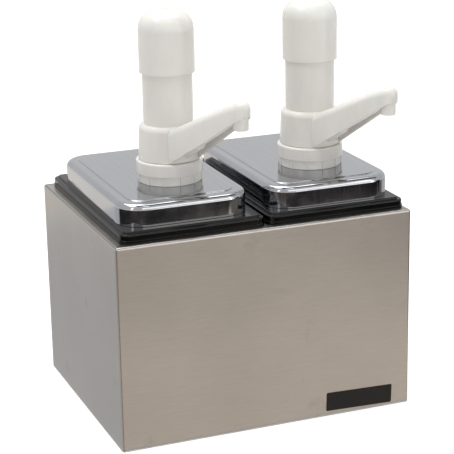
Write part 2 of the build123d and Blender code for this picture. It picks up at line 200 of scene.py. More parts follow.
def linear(part):
    """Linear value of one sRGB channel given as 0 to 255."""
    share = part / 255
    return share / 12.92 if share < 0.04045 else ((share + 0.055) / 1.055) ** 2.4


def colour(red, green, blue):
    """Linear colour of an sRGB colour."""
    return [linear(red), linear(green), linear(blue), 1.0]


# Finishes

BLACK = (0, 0, 0)
WHITE = (255, 255, 255)
FOLD_INSET = 0.9
FOLD_REACH = 0.35
FOLD_SHADE = 0.5
MITRE_REACH = 0.2
MITRE_DEPTH = 0.3
MITRE_SHADE = 0.8


def fold_shade_and_mitres(finish):
    """Mask of the upright folds at the corners and of the mitres of the top flange. The fold lines
    are painted shade of the bends together with the weld seam there; the mitres are the flange's
    seams.
    """
    high = node_box("housing_wrap")[1] * MM
    x, y, z = finish.axes()
    inward = high.x - finish.maths("ABSOLUTE", x)
    deep = high.y - finish.maths("ABSOLUTE", y)
    fold = finish.near(inward, FOLD_INSET * MM, FOLD_REACH * MM)
    level = finish.near(z, high.z, MITRE_DEPTH * MM)
    mitre = finish.near(inward, deep, MITRE_REACH * MM) * level
    return finish.maths("MAXIMUM", fold * FOLD_SHADE, mitre * MITRE_SHADE)


def brushed_steel():
    """Sheet steel with short brush marks, a slow cloud, a few smudges, and painted shade with the
    weld seams along the folds.
    """
    finish = Finish("brushed_steel", metallic=1.0)
    coarse = finish.noise(detail=3.0, stretch=(45, 45, 900))
    fine = finish.noise(stretch=(120, 120, 3200))
    marks = coarse * 0.4 + fine * 0.6
    cloud = finish.noise(scale=11.0)
    smudge = finish.tones(
        finish.noise(scale=27.0, detail=4.0, roughness=0.65), BLACK, WHITE, start=0.62, end=0.74
    )
    shade = finish.tones(marks, (172, 168, 164), (182, 178, 174))
    tone = finish.tones(cloud, (246, 246, 246), WHITE, start=0.35)
    plain = finish.blend(1.0, shade, tone, "MULTIPLY")
    # Painted shade: a dark line along each upright fold stands for the bend's shade and its weld
    # seam; the mitre lines are seams
    fold_shaded_steel = finish.blend(fold_shade_and_mitres(finish), plain, colour(70, 66, 62))
    finish.set(
        base_color=finish.blend(smudge * 0.5, fold_shaded_steel, colour(158, 151, 144)),
        roughness=marks * 0.12 + smudge * 0.08 + 0.28,
        normal=finish.bump(marks, distance=0.02, strength=0.3),
    )
    return finish.material


def drawn_steel():
    """Polished pressing: near mirror, with faint polishing lines and the press's slow wave."""
    finish = Finish("drawn_steel", metallic=1.0)
    lines = finish.noise(stretch=(700, 30, 30))
    wave = finish.noise(scale=24.0, detail=1.0)
    haze = finish.noise(scale=60.0, detail=3.0)
    polish = finish.bump(wave, distance=0.3, strength=0.4)
    finish.set(
        base_color=finish.tones(lines, (170, 172, 176), (176, 178, 182)),
        roughness=haze * 0.08 + lines * 0.03 + 0.04,
        normal=finish.bump(lines, distance=0.008, strength=0.15, under=polish),
    )
    return finish.material


def black_plastic():
    """Glossy black moulding with faint handling haze."""
    finish = Finish("black_plastic", ior=1.5, specular_ior_level=0.28)
    haze = finish.noise(scale=45.0, detail=4.0)
    grain = finish.noise(scale=900.0)
    finish.set(
        base_color=finish.tones(haze, (5, 5, 6), (11, 11, 12), end=0.75),
        roughness=haze * 0.08 + 0.06,
        normal=finish.bump(grain, distance=0.015, strength=0.2),
    )
    return finish.material


def pump_plastic():
    """Warm white moulded plastic with a soft sheen and a trace of flow marks."""
    finish = Finish("pump_plastic", ior=1.49, subsurface_weight=0.12, subsurface_scale=2 * MM)
    flow = finish.noise(scale=55.0, detail=3.0, stretch=(1, 1, 0.35))
    grain = finish.noise(scale=1100.0)
    finish.set(
        base_color=finish.tones(flow, (236, 233, 228), (241, 239, 234)),
        roughness=flow * 0.06 + 0.12,
        normal=finish.bump(grain, distance=0.02, strength=0.3),
    )
    return finish.material


def soft_rubber():
    """Matt black rubber with a little dust."""
    finish = Finish("soft_rubber", ior=1.5)
    dust = finish.noise(scale=300.0, detail=3.0)
    finish.set(
        base_color=finish.tones(dust, (22, 22, 23), (38, 38, 39)),
        roughness=dust * 0.2 + 0.6,
        normal=finish.bump(dust, distance=0.03, strength=0.4),
    )
    return finish.material


def clear_tube():
    """Extruded tube, milky and slightly see-through."""
    finish = Finish("clear_tube", ior=1.45, transmission_weight=0.6)
    draw = finish.noise(stretch=(500, 500, 8))
    finish.set(
        base_color=finish.tones(draw, (222, 226, 222), (238, 240, 236)),
        roughness=draw * 0.15 + 0.15,
        normal=finish.bump(draw, distance=0.02, strength=0.3),
    )
    return finish.material


def ground_steel():
    """Balls and spring wire: small bright parts with fine grinding marks."""
    finish = Finish("ground_steel", metallic=1.0)
    marks = finish.noise(stretch=(200, 200, 1600))
    finish.set(
        base_color=finish.tones(marks, (168, 168, 170), (200, 200, 203)),
        roughness=marks * 0.15 + 0.15,
        normal=finish.bump(marks, distance=0.01, strength=0.3),
    )
    return finish.material


def label_film():
    """Bare black film with a satin print surface."""
    finish = Finish("label_film", ior=1.5, specular_ior_level=0.3)
    weave = finish.noise(scale=1400.0)
    finish.set(
        base_color=finish.tones(weave, (8, 8, 9), (15, 15, 16)),
        roughness=weave * 0.1 + 0.3,
        normal=finish.bump(weave, distance=0.01, strength=0.4),
    )
    return finish.material


# Shape tools: steps are faces along an arc, and the hold and the weld are in millimetres

ARC_STEPS = 6
FLAT_HOLD = 0.12
AROUND = 96
SMALL_AROUND = 48
TIP_AROUND = 64
CORNER_STEPS = 12
SHARP = radians(33)
WELD = 0.0005


def softened(corners):
    """Line through corners given as x, y and radius, with each rounded corner as an arc.

    A point just outside each end of an arc holds the flat next to it flat when it is shaded.
    """
    line = []
    for index, (x, y, radius) in enumerate(corners):
        here = Vector((x, y))
        if not radius:
            line.append(here)
            continue
        back = (Vector(corners[index - 1][:2]) - here).normalized()
        ahead = (Vector(corners[(index + 1) % len(corners)][:2]) - here).normalized()
        half = back.angle(ahead) / 2
        reach = radius / tan(half)
        centre = here + (back + ahead).normalized() * radius / sin(half)
        start = here + back * reach - centre
        end = here + ahead * reach - centre
        turn = pi - 2 * half
        line.append(here + back * (reach + FLAT_HOLD))
        for step in range(ARC_STEPS + 1):
            share = step / ARC_STEPS
            spoke = (start * sin((1 - share) * turn) + end * sin(share * turn)) / sin(turn)
            line.append(centre + spoke)
        line.append(here + ahead * (reach + FLAT_HOLD))
    return line


def lathe(corners, closed=True, steps=AROUND):
    """Spin a half profile round the Z axis; a closed profile makes a ring."""
    bm = bmesh.new()
    verts = [bm.verts.new((point.x, 0, point.y)) for point in softened(corners)]
    pairs = zip(verts, verts[1:] + verts[:1] if closed else verts[1:])
    edges = [bm.edges.new(pair) for pair in pairs]
    bmesh.ops.spin(
        bm,
        geom=verts + edges,
        cent=(0, 0, 0),
        axis=(0, 0, 1),
        dvec=(0, 0, 0),
        angle=2 * pi,
        steps=steps,
        use_merge=True,
        use_duplicate=False,
    )
    bmesh.ops.remove_doubles(bm, verts=bm.verts, dist=WELD)
    return bm


def ring_point(seat, width, length, corner, height):
    """Place of one point on a rounded rectangle, counted round it from its right-hand side."""
    quarter, step = divmod(seat, CORNER_STEPS + 1)
    angle = pi / 2 * (quarter + step / CORNER_STEPS)
    side = 1 if quarter in (0, 3) else -1
    end = 1 if quarter in (0, 1) else -1
    x = side * (width / 2 - corner) + corner * cos(angle)
    y = end * (length / 2 - corner) + corner * sin(angle)
    return Vector((x, y, height))


def skinned(count, rings, place):
    """Skin over closed rings of equally many points; place says where each point goes."""
    bm = bmesh.new()
    seats = bm.verts.layers.int.new("seat")
    verts = bmesh.ops.create_circle(bm, segments=count, radius=1)["verts"]
    verts.sort(key=lambda vert: atan2(vert.co.y, vert.co.x) % (2 * pi))
    for seat, vert in enumerate(verts):
        vert[seats] = seat
        vert.co = place(seat, *rings[0])
    first = loop = list(bm.edges)
    for ring in rings[1:]:
        made = bmesh.ops.extrude_edge_only(bm, edges=loop)["geom"]
        loop = edges_of(made)
        for vert in {vert for edge in loop for vert in edge.verts}:
            vert.co = place(vert[seats], *ring)
    return bm, first, loop


def edges_of(made):
    return [item for item in made if isinstance(item, bmesh.types.BMEdge)]


def box_skin(rings):
    """Skin over rounded rectangles, each given as width, length, corner radius and height."""
    return skinned(4 * (CORNER_STEPS + 1), rings, ring_point)


def close_ends(bm, *loops):
    for loop in loops:
        bmesh.ops.edgeloop_fill(bm, edges=loop)


def insets(width, length, corner, line):
    """Rings from a line of inset and height pairs, measured in from one rounded rectangle."""
    return [
        (width - 2 * inset, length - 2 * inset, corner - inset, height) for inset, height in line
    ]


def merged(*parts):
    """One mesh from several, each given with the matrix that places it."""
    whole = bmesh.new()
    for bm, matrix in parts:
        bmesh.ops.transform(bm, matrix=matrix, verts=bm.verts)
        mesh = bpy.data.meshes.new("part")
        bm.to_mesh(mesh)
        bm.free()
        whole.from_mesh(mesh)
        bpy.data.meshes.remove(mesh)
    return whole


def new_object(name, bm, material):
    mesh = bpy.data.meshes.new(name)
    bm.to_mesh(mesh)
    bm.free()
    mesh.materials.append(material)
    obj = bpy.data.objects.new(name, mesh)
    scene.collection.objects.link(obj)
    return obj


def piece(name, bm, body, material, nodes=(), place=Matrix()):
    """Turn finished mesh work into an object that rides on a body and stands for CAD nodes."""
    bmesh.ops.transform(bm, matrix=Matrix.Scale(MM, 4) @ place, verts=bm.verts)
    bmesh.ops.recalc_face_normals(bm, faces=bm.faces)
    for face in bm.faces:
        face.smooth = True
    for edge in bm.edges:
        edge.smooth = len(edge.link_faces) == 2 and edge.calc_face_angle() < SHARP
    obj = new_object(name, bm, material)
    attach(obj, body)
    if nodes:
        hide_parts(*nodes)
    return obj


def node_box(node):
    """Lowest corner, highest corner and middle of a CAD node, in millimetres."""
    low, high = (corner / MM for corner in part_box(node))
    return low, high, (low + high) / 2


# Lids: lines are insets from the lid's outline, heights from its panel and corner radii

LID_SHEET = 1.0
LID_SKIRT = 17.5
LID_CORNER = 21.0
LID_EDGE = 4.2
LID_HOLE = 19.4
PANEL_INSET = 9.0
PANEL_RISE = 0.8
PANEL_ROUND = 1.2
PANEL_RUN = 3.0
CUT_ROUND = 0.25


def lid_skin(sheet):
    """Section of the pressing from the skirt's foot to the panel, this far inside its face."""
    shoulder = -PANEL_RISE - sheet
    return [
        (sheet, -LID_SKIRT, 0),
        (sheet, shoulder, LID_EDGE - sheet),
        (PANEL_INSET, shoulder, PANEL_ROUND),
        (PANEL_INSET + PANEL_RISE, -sheet, PANEL_ROUND),
        (PANEL_INSET + PANEL_RUN, -sheet, 0),
    ]


def lid_sheet(number, material):
    """Drawn lid with a rounded shoulder, a raised panel and the hole that takes the pump."""
    low, high, centre = node_box(f"lid_{number}")
    outline = (high.x - low.x, high.y - low.y, LID_CORNER)
    pump = node_box(f"tower_{number}")[2] - centre
    foot = [(LID_SHEET / 2, -LID_SKIRT, 0), (0, -LID_SKIRT, CUT_ROUND)]
    inside = insets(*outline, softened(lid_skin(LID_SHEET)))
    outside = insets(*outline, softened(foot + lid_skin(0)[1:]))
    bm, under, over = box_skin(inside[::-1] + outside)
    hole = []
    for loop, height in ((under, -LID_SHEET), (over, 0)):
        circle = bmesh.ops.create_circle(bm, segments=AROUND, radius=LID_HOLE)["verts"]
        bmesh.ops.translate(bm, vec=(pump.x, pump.y, height), verts=circle)
        rim = list({edge for vert in circle for edge in vert.link_edges})
        bmesh.ops.triangle_fill(bm, edges=loop + rim, use_beauty=True, normal=(0, 0, 1))
        hole += rim
    bmesh.ops.bridge_loops(bm, edges=hole)
    name = f"lid_{number}"
    place = Matrix.Translation((centre.x, centre.y, high.z))
    piece(f"lid_sheet_{number}", bm, name, material, [name], place)


# Jars: lines are insets, heights from the box's flange and corner radii

NECK_SIDE = 9.75
NECK_END = 14.0
NECK_CORNER = 16.0
NECK_APRON = 1.0
RIM_CORNER = 7.6
RIM_WALL = 2.9
RIM_FOOT = 2.6
RIM_STEP = 0.5
RIM_TOP = 7.0
LEDGE_INSET = 3.5
LEDGE_TOP = 8.5
LEDGE_RUN = 2.0
CHANNEL = 4.6
JAR_WALL = 2.5
JAR_FLOOR = 3.0
JAR_DRAFT = tan(radians(2))
FLOOR_ROUND = 4.0


def jar_moulding(number, material):
    """Jar with its stepped rim, a hollow channel under the rim and a drafted body."""
    low, high, centre = node_box(f"jar_{number}")
    seat = node_box("housing_wrap")[1].z
    width, length = high.x - low.x, high.y - low.y
    neck = (width - 2 * NECK_SIDE, length - 2 * NECK_END, NECK_CORNER)
    depth = seat - low.z
    neck_top = high.z - seat
    floor = JAR_FLOOR - depth
    narrow = depth * JAR_DRAFT
    inner = JAR_WALL - floor * JAR_DRAFT
    body_line = [
        (narrow + 2 * FLOOR_ROUND, -depth, 0),
        (narrow, -depth, FLOOR_ROUND),
        (0, 0, 0),
        (0, CHANNEL, 0),
    ]
    rim_line = [
        (RIM_WALL, CHANNEL, 0),
        (RIM_WALL, 0, 0.3),
        (0, 0, 0.4),
        (0, RIM_FOOT, 0.35),
        (RIM_STEP, RIM_FOOT, 0.1),
        (RIM_STEP, RIM_TOP, 1.2),
        (LEDGE_INSET, RIM_TOP, 0.5),
        (LEDGE_INSET, LEDGE_TOP, 0.9),
        (LEDGE_INSET + LEDGE_RUN, LEDGE_TOP, 0),
    ]
    neck_line = [
        (-NECK_APRON, LEDGE_TOP, 0),
        (0, LEDGE_TOP, 0.8),
        (0, neck_top, 0.9),
        (JAR_WALL, neck_top, 0.9),
        (JAR_WALL, 0, 0),
        (inner, floor, FLOOR_ROUND),
        (inner + 2 * FLOOR_ROUND, floor, 0),
    ]
    rings = insets(*neck, softened(body_line))
    rings += insets(width, length, RIM_CORNER, softened(rim_line))
    rings += insets(*neck, softened(neck_line))
    bm, under, over = box_skin(rings)
    close_ends(bm, under, over)
    name = f"jar_{number}"
    place = Matrix.Translation((centre.x, centre.y, seat))
    piece(f"jar_moulding_{number}", bm, name, material, [name], place)


# Label: its middle on the front wall, with the length along X and the height along Z

LABEL_X = 74.9
LABEL_Z = 10.7
LABEL_SIZE = (55.7, 15.0)
LABEL_CORNER = 1.2
LABEL_TILT = radians(1.7)
LABEL_THICKNESS = 0.12
LABEL_EDGE = 0.04
LABEL_BORDER = 1.1


def bare_label(material):
    """Blank film label on the front wall, put on by hand and so a little out of level."""
    front = node_box("housing_wrap")[0].y
    edge = [(0, 0, 0), (0, LABEL_THICKNESS, LABEL_EDGE), (LABEL_BORDER, LABEL_THICKNESS, 0)]
    bm, back, face = box_skin(insets(*LABEL_SIZE, LABEL_CORNER, softened(edge)))
    close_ends(bm, back, face)
    upright = Matrix.Rotation(LABEL_TILT, 4, "Y") @ Matrix.Rotation(pi / 2, 4, "X")
    place = Matrix.Translation((LABEL_X, front, LABEL_Z)) @ upright
    piece("bare_label", bm, "housing", material, place=place)


# Pumps: profiles are radii, heights from the lid's panel and corner radii

SOFT_EDGE = 0.4

RING_BORE = 19.2
NUT_RADIUS = 24.0
NUT_HEIGHT = 7.0
NUT_EDGE = 0.5
NUT_RIBS = 12
RIB_SIZE = (1.8, 0.9, 6.4)
RIB_EDGE = 0.25
RIB_EDGE_STEPS = 3
RIB_SINK = 0.1


def grip_rib():
    """Upright rib with rounded edges, centred on the origin."""
    bm = bmesh.new()
    bmesh.ops.create_cube(bm, size=1)
    bmesh.ops.scale(bm, vec=RIB_SIZE, verts=bm.verts)
    bmesh.ops.bevel(
        bm,
        geom=bm.edges,
        offset=RIB_EDGE,
        segments=RIB_EDGE_STEPS,
        profile=0.5,
        affect="EDGES",
        material=-1,
    )
    return bm


def lock_ring():
    """Ring nut with thin upright grips."""
    corners = [
        (RING_BORE, 0, 0),
        (NUT_RADIUS, 0, NUT_EDGE),
        (NUT_RADIUS, NUT_HEIGHT, 0),
        (RING_BORE, NUT_HEIGHT, 0),
    ]
    parts = [(lathe(corners), Matrix())]
    out = Matrix.Translation((NUT_RADIUS - RIB_SINK, 0, RIB_SIZE[2] / 2))
    for index in range(NUT_RIBS):
        parts.append((grip_rib(), Matrix.Rotation(2 * pi * index / NUT_RIBS, 4, "Z") @ out))
    return merged(*parts)


COLLAR_RADIUS = 25.25
COLLAR_TOP = 17.0
COLLAR_EDGE = 1.6
COLLAR_FLOOR = 8.5
SOCKET_RADIUS = 21.5
GROOVE_RADIUS = 22.0
GROOVE_BOTTOM = 10.0
GROOVE_TOP = 12.1


def snap_collar():
    """Collar whose socket has the groove that the head's bead snaps into."""
    return lathe(
        [
            (RING_BORE, NUT_HEIGHT, 0),
            (COLLAR_RADIUS, NUT_HEIGHT, SOFT_EDGE),
            (COLLAR_RADIUS, COLLAR_TOP, COLLAR_EDGE),
            (SOCKET_RADIUS, COLLAR_TOP, SOFT_EDGE),
            (SOCKET_RADIUS, GROOVE_TOP, 0),
            (GROOVE_RADIUS, GROOVE_TOP, 0),
            (GROOVE_RADIUS, GROOVE_BOTTOM, 0),
            (SOCKET_RADIUS, GROOVE_BOTTOM, 0),
            (SOCKET_RADIUS, COLLAR_FLOOR, 0),
            (RING_BORE, COLLAR_FLOOR, 0),
        ]
    )


TOWER_RADIUS = 18.75
TOWER_BORE = 16.75
TOWER_BOTTOM = 34.5
TOWER_TOP = 85.0
TOWER_LEAD = 1.5


def tower_sleeve():
    """Fixed sleeve that guides the knob, chamfered at the top to clear its rounded ceiling."""
    return lathe(
        [
            (TOWER_BORE, TOWER_BOTTOM, 0),
            (TOWER_RADIUS, TOWER_BOTTOM, 0),
            (TOWER_RADIUS, TOWER_TOP - TOWER_LEAD, 0.4),
            (TOWER_RADIUS - TOWER_LEAD, TOWER_TOP, 0.3),
            (TOWER_BORE, TOWER_TOP, 0.2),
        ]
    )


KNOB_RADIUS = 20.75
KNOB_BORE = 19.1
KNOB_CROWN = 1.2
KNOB_DOME = 14.0
KNOB_CREST = 4.0
KNOB_CREST_DROP = 0.05
KNOB_LIP = 0.8
KNOB_TOP_WALL = 4.0
KNOB_INNER_ROUND = 4.8
BOSS_RADIUS = 7.5
BOSS_LENGTH = 12.0
ROD_RADIUS = 4.5


def knob_cap(bottom, top):
    """Long cap with a rounded dome, open below, with the boss that holds the rod."""
    ceiling = top - KNOB_CROWN - KNOB_TOP_WALL
    corners = [
        (0, top, 0),
        (KNOB_CREST, top - KNOB_CREST_DROP, 0),
        (KNOB_RADIUS, top - KNOB_CROWN, KNOB_DOME),
        (KNOB_RADIUS, bottom, KNOB_LIP),
        (KNOB_BORE, bottom, SOFT_EDGE),
        (KNOB_BORE, ceiling, KNOB_INNER_ROUND),
        (BOSS_RADIUS, ceiling, 0),
        (BOSS_RADIUS, ceiling - BOSS_LENGTH, SOFT_EDGE),
        (ROD_RADIUS, ceiling - BOSS_LENGTH, 0),
        (ROD_RADIUS, ceiling, 0),
        (0, ceiling, 0),
    ]
    return lathe(corners, closed=False)


SPRING_RADIUS = 13.4
WIRE_RADIUS = 0.9
WIRE_SIDES = 12
SPRING_BOTTOM = 34.5
SPRING_TOP = 123.3
END_PITCH = 2.4
OPEN_TURNS = 7
TURN_STEPS = 40


def coil_spring():
    """Coil of one smooth wire with a closely wound turn at each end."""
    low, high = SPRING_BOTTOM + WIRE_RADIUS, SPRING_TOP - WIRE_RADIUS
    open_pitch = (high - low - 2 * END_PITCH) / OPEN_TURNS
    bm = bmesh.new()
    start = Matrix.Translation((SPRING_RADIUS, 0, low)) @ Matrix.Rotation(pi / 2, 4, "X")
    bmesh.ops.create_circle(bm, segments=WIRE_SIDES, radius=WIRE_RADIUS, matrix=start)
    first = end = list(bm.edges)
    for turns, pitch in ((1, END_PITCH), (OPEN_TURNS, open_pitch), (1, END_PITCH)):
        made = bmesh.ops.spin(
            bm,
            geom=end + list({vert for edge in end for vert in edge.verts}),
            cent=(0, 0, 0),
            axis=(0, 0, 1),
            dvec=(0, 0, pitch / TURN_STEPS),
            angle=2 * pi * turns,
            steps=TURN_STEPS * turns,
            use_merge=False,
            use_duplicate=False,
        )["geom_last"]
        end = edges_of(made)
    close_ends(bm, first, end)
    return bm


def press_spring(spring):
    """Give the spring its own copy of its mesh."""
    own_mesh(spring)


BODY_BOTTOM = 17.2
BODY_TOP = 44.0
BODY_RADIUS = 23.3
BODY_TOP_RADIUS = 22.3
BODY_EDGE = 0.5
BODY_ROUND = 4.2
SPIGOT_RADIUS = 21.2
SPIGOT_BOTTOM = 8.8
SPIGOT_EDGE = 0.3
SPIGOT_BORE = 19.4
CHAMBER_RADIUS = 17.5
CHAMBER_BOTTOM = 12.8
CHAMBER_TOP = 27.0
PLUNGER_BORE = 11.8
GLAND_RADIUS = 15.0
GLAND_BOTTOM = 30.0
TOWER_SEAT = 33.0

SPOUT_TURN = radians(17)
SPOUT_REACH = 86.2
SPOUT_ROOT = 15.9
SPOUT_TIP = 6.89
SPOUT_WALL = 1.3
SPOUT_EDGE = 6.4
SPOUT_TOP_START = 19.5
SPOUT_TOP_SLOPE = 0.46
SPOUT_LOWER_START = 18.2
SPOUT_LOWER_SLOPE = 0.62
SPOUT_STRAIGHT = 70.0
SPOUT_CREST = 75.6
SPOUT_CUT = 20.8
INNER_CUT = 21.4
SPOUT_STEPS = 20
RIM_SOFT = 0.3

DUCT_SLOPE = 0.6
PIPE_RADIUS = 4.6
VALVE_BOSS_RADIUS = 6.1
VALVE_BOSS_LENGTH = 18.8
VALVE_BOSS_BACK = 76.35
ELBOW_HEIGHT = 65.5
NOZZLE_RADIUS = 5.5
NOZZLE_BORE = 3.4
NOZZLE_BOTTOM = 53.0
NOZZLE_EDGE = 0.6
ELBOW_ROUND = 5.2
ELBOW_INNER_ROUND = 3.0
PIPE_SOCKET_LENGTH = 6.2
PIPE_SOCKET_BACK = 10.5


def along_duct(distance):
    """Matrix that lays an upright shape along the duct, this far back from the elbow."""
    slant = atan(DUCT_SLOPE)
    run = distance * cos(slant)
    place = Matrix.Translation((SPOUT_REACH - run, 0, ELBOW_HEIGHT - run * DUCT_SLOPE))
    return place @ Matrix.Rotation(pi / 2 - slant, 4, "Y")


def spout_top(reach):
    """Height of the spout's top: a straight rise that levels out towards the tip."""
    straight = BODY_TOP + SPOUT_TOP_SLOPE * (min(reach, SPOUT_STRAIGHT) - SPOUT_TOP_START)
    run = SPOUT_REACH + SPOUT_TIP + SPOUT_WALL - SPOUT_STRAIGHT
    end = BODY_TOP + SPOUT_TOP_SLOPE * (SPOUT_STRAIGHT - SPOUT_TOP_START)
    droop = (SPOUT_TOP_SLOPE * run - SPOUT_CREST + end) / run**2
    past = max(reach - SPOUT_STRAIGHT, 0)
    return straight + SPOUT_TOP_SLOPE * past - droop * past**2


def spout_under(reach):
    """Height of the spout's lower edge: one rise from the body to the tip."""
    return BODY_BOTTOM + SPOUT_LOWER_SLOPE * max(reach - SPOUT_LOWER_START, 0)


def spout_point(seat, inset, cut, height, rise):
    """Point on the spout's outline moved in by an inset, at a rise from its top or lower edge.

    The outline goes round the tip, along one side, over the cut at the body and back.
    """
    leg, step = divmod(seat, SPOUT_STEPS)
    share = step / SPOUT_STEPS
    root, tip = SPOUT_ROOT - inset, SPOUT_TIP - inset
    lean = acos((SPOUT_ROOT - SPOUT_TIP) / SPOUT_REACH)
    along = (cut**2 - root**2) ** 0.5
    spread = lean - atan2(along, root)
    end = Vector((SPOUT_REACH + tip * cos(lean), tip * sin(lean)))
    start = Vector((cut * cos(spread), cut * sin(spread)))
    if leg == 0:
        turn = lean * (2 * share - 1)
        flat = Vector((SPOUT_REACH + tip * cos(turn), tip * sin(turn)))
    elif leg == 1:
        flat = end.lerp(start, share)
    elif leg == 2:
        turn = spread * (1 - 2 * share)
        flat = Vector((cut * cos(turn), cut * sin(turn)))
    else:
        flat = start.lerp(end, share) * Vector((1, -1))
    return Vector((flat.x, flat.y, height(flat.x) + rise))


def rolled_edge(radius, wall, cut):
    """Rings round the spout's top edge, at this wall's depth inside its face."""
    turns = [pi / 2 * step / ARC_STEPS for step in range(ARC_STEPS + 1)]
    return [
        (wall + radius * (1 - cos(turn)), cut, spout_top, radius * (sin(turn) - 1) - wall)
        for turn in turns
    ]


def spout_shell():
    """Tapering trough, open below, that grows out of the round body along +X."""
    inside = rolled_edge(SPOUT_EDGE - SPOUT_WALL, SPOUT_WALL, INNER_CUT)
    outside = rolled_edge(SPOUT_EDGE, 0, SPOUT_CUT)
    rim = [
        (SPOUT_WALL, INNER_CUT, spout_under, 0),
        (SPOUT_WALL - RIM_SOFT, INNER_CUT, spout_under, -RIM_SOFT),
        (RIM_SOFT, SPOUT_CUT, spout_under, -RIM_SOFT),
        (0, SPOUT_CUT, spout_under, 0),
    ]
    rings = inside[::-1] + rim + outside
    bm, inner, outer = skinned(4 * SPOUT_STEPS, rings, spout_point)
    for loop in (inner, outer):
        made = bmesh.ops.extrude_edge_only(bm, edges=loop)["geom"]
        spine = [item for item in made if isinstance(item, bmesh.types.BMVert)]
        bmesh.ops.scale(bm, vec=(1, 0, 1), verts=spine)
    bmesh.ops.remove_doubles(bm, verts=bm.verts, dist=WELD)
    return bm


def head_moulding():
    """Round body, the snap spigot under it, the spout's shell and the outlet valve's boss."""
    body = [
        (SPIGOT_RADIUS, BODY_BOTTOM, 0),
        (BODY_RADIUS, BODY_BOTTOM, BODY_EDGE),
        (BODY_TOP_RADIUS, BODY_TOP, BODY_ROUND),
        (TOWER_RADIUS, BODY_TOP, 0),
        (TOWER_RADIUS, TOWER_SEAT, 0),
        (GLAND_RADIUS, TOWER_SEAT, 0),
        (GLAND_RADIUS, GLAND_BOTTOM, 0),
        (PLUNGER_BORE, GLAND_BOTTOM, 0),
        (PLUNGER_BORE, CHAMBER_TOP, 0),
        (CHAMBER_RADIUS, CHAMBER_TOP, 0),
        (CHAMBER_RADIUS, CHAMBER_BOTTOM, 0),
        (SPIGOT_BORE, CHAMBER_BOTTOM, 0),
        (SPIGOT_BORE, SPIGOT_BOTTOM, 0),
        (SPIGOT_RADIUS, SPIGOT_BOTTOM, SPIGOT_EDGE),
    ]
    boss = [
        (PIPE_RADIUS, 0, 0),
        (VALVE_BOSS_RADIUS, 0, 0),
        (VALVE_BOSS_RADIUS, VALVE_BOSS_LENGTH, SPIGOT_EDGE),
        (PIPE_RADIUS, VALVE_BOSS_LENGTH, 0),
    ]
    return merged(
        (lathe(body), Matrix()),
        (spout_shell(), Matrix()),
        (lathe(boss, steps=SMALL_AROUND), along_duct(VALVE_BOSS_BACK)),
    )


def nozzle_tip():
    """Round tip under the spout's end, with a domed elbow and the socket for the duct."""
    tip = [
        (0, ELBOW_HEIGHT + NOZZLE_RADIUS, 0),
        (NOZZLE_RADIUS, ELBOW_HEIGHT + NOZZLE_RADIUS, ELBOW_ROUND),
        (NOZZLE_RADIUS, NOZZLE_BOTTOM, NOZZLE_EDGE),
        (NOZZLE_BORE, NOZZLE_BOTTOM, SOFT_EDGE),
        (NOZZLE_BORE, ELBOW_HEIGHT + NOZZLE_BORE, ELBOW_INNER_ROUND),
        (0, ELBOW_HEIGHT + NOZZLE_BORE, 0),
    ]
    socket = [
        (PIPE_RADIUS, 0, 0),
        (NOZZLE_RADIUS, 0, 0),
        (NOZZLE_RADIUS, PIPE_SOCKET_LENGTH, 0),
        (PIPE_RADIUS, PIPE_SOCKET_LENGTH, 0),
    ]
    under_tip = Matrix.Translation((SPOUT_REACH, 0, 0))
    return merged(
        (lathe(tip, closed=False, steps=TIP_AROUND), under_tip),
        (lathe(socket, steps=SMALL_AROUND), along_duct(PIPE_SOCKET_BACK)),
    )


def dress_pump(number, plastic, wire):
    """All the new pieces of one pump, on its axis and over its own lid."""
    axis = node_box(f"tower_{number}")[2]
    panel = node_box(f"lid_{number}")[1].z
    low, high, _ = node_box(f"knob_{number}")
    place = Matrix.Translation((axis.x, axis.y, panel))
    turned = place @ Matrix.Rotation(SPOUT_TURN - pi / 2, 4, "Z")
    # Name, shape, body that it rides on, CAD node that it stands for and place
    mouldings = [
        ("lock_ring", lock_ring(), "lid", "lock_nut", place),
        ("snap_collar", snap_collar(), "lid", "collar", place),
        ("head_moulding", head_moulding(), "head", "pump_head", turned),
        ("nozzle_tip", nozzle_tip(), "head", "nozzle", turned),
        ("tower_sleeve", tower_sleeve(), "head", "tower", place),
        ("knob_cap", knob_cap(low.z - panel, high.z - panel), "plunger", "knob", place),
    ]
    for name, bm, body, node, where in mouldings:
        nodes = [f"{node}_{number}"]
        piece(f"{name}_{number}", bm, f"{body}_{number}", plastic, nodes, where)
    nodes = [f"return_spring_{number}"]
    spring = piece(
        f"coil_spring_{number}", coil_spring(), f"head_{number}", wire, nodes, place
    )
    press_spring(spring)


# Studio, in metres

STANDING = pi / 2
FLOOR_REACH = 20
FLOOR_GLOW = 0.55
WORLD_FILL = (1, 0.99, 0.97, 1)
WORLD_POWER = 0.4
BACKDROP = (0.8, 0.8, 0.8, 1)

